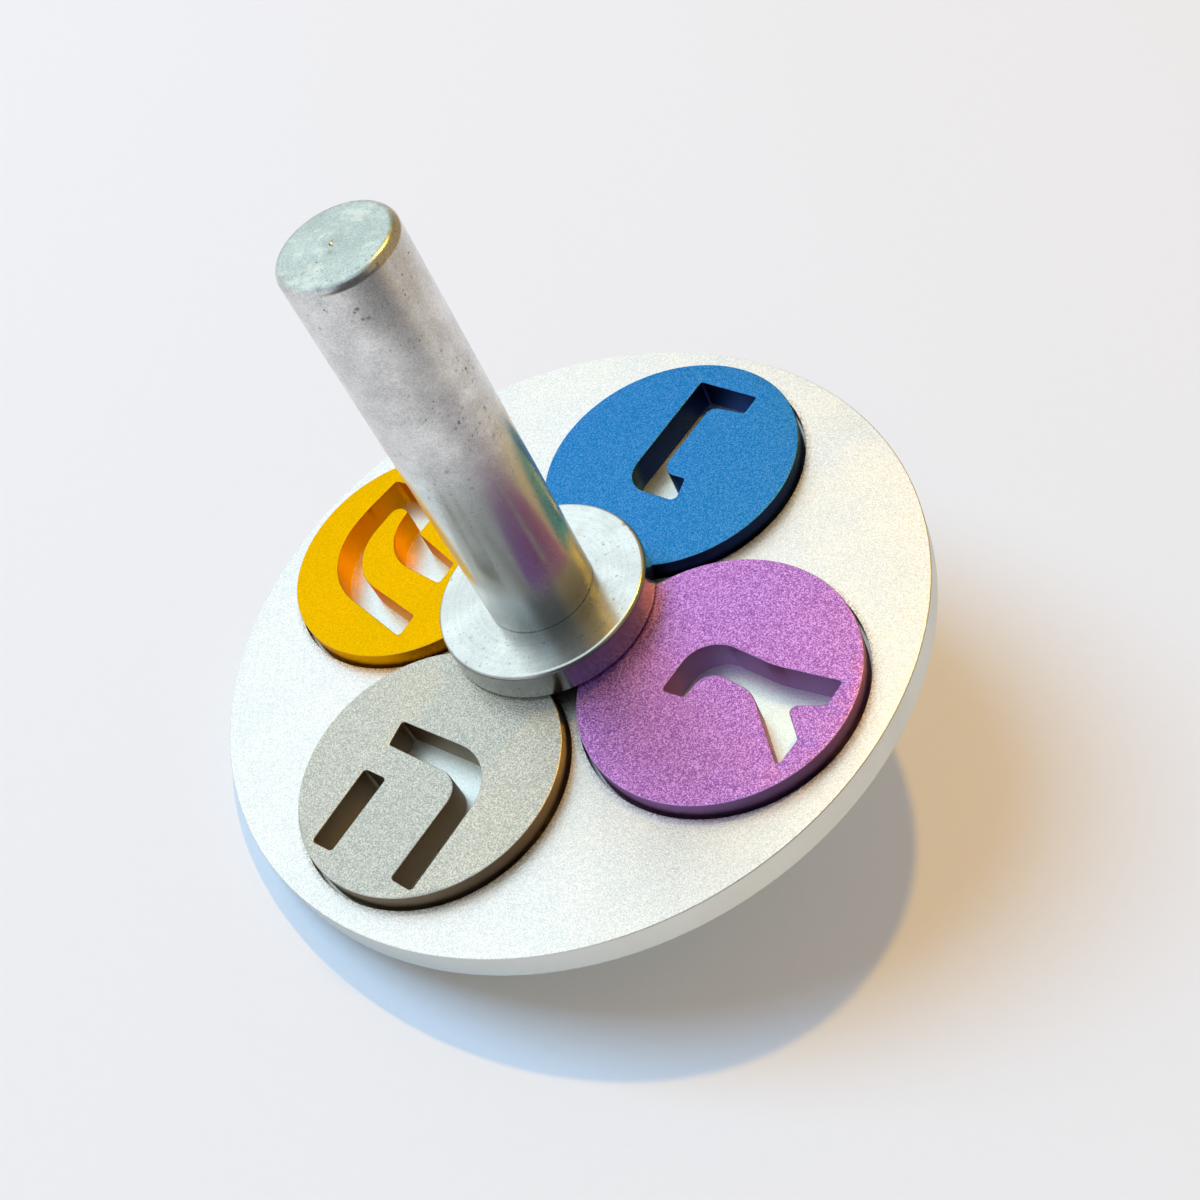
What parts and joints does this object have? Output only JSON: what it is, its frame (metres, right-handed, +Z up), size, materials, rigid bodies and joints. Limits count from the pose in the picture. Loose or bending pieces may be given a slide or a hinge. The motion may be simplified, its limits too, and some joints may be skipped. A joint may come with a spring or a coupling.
{
  "type": "dreidel",
  "caption": "Spinning-top dreidel: flat round body with coloured letter discs let into its face, a collar that clamps them, a long finger stem and a turned point.",
  "frame": {"origin": "end of the tip, on the spin axis", "axes": "+Z up the spin axis from the tip to the stem's end; the letter discs lie on the diagonals between X and Y"},
  "size_m": [0.0675, 0.0676, 0.062],
  "materials": {
    "blasted_aluminium": "bead blasted, clear anodised",
    "anodised_blue": "bead blasted, blue anodised",
    "anodised_purple": "bead blasted, purple anodised",
    "anodised_grey": "bead blasted, silver-grey anodised",
    "anodised_orange": "bead blasted, yellow-orange anodised",
    "turned_aluminium": "fine turned and polished",
    "polished_aluminium": "polished, worn hazy with small pits",
    "stud_steel": "plain threaded steel"
  },
  "bodies": {
    "root": {"body_plate": "blasted_aluminium", "letter_disc_nun": "anodised_blue", "letter_disc_gimel": "anodised_purple", "letter_disc_he": "anodised_grey", "letter_disc_shin": "anodised_orange", "collar": "turned_aluminium", "stem": "polished_aluminium", "center_stud": "stud_steel", "tip": "turned_aluminium"}
  },
  "joints": []
}
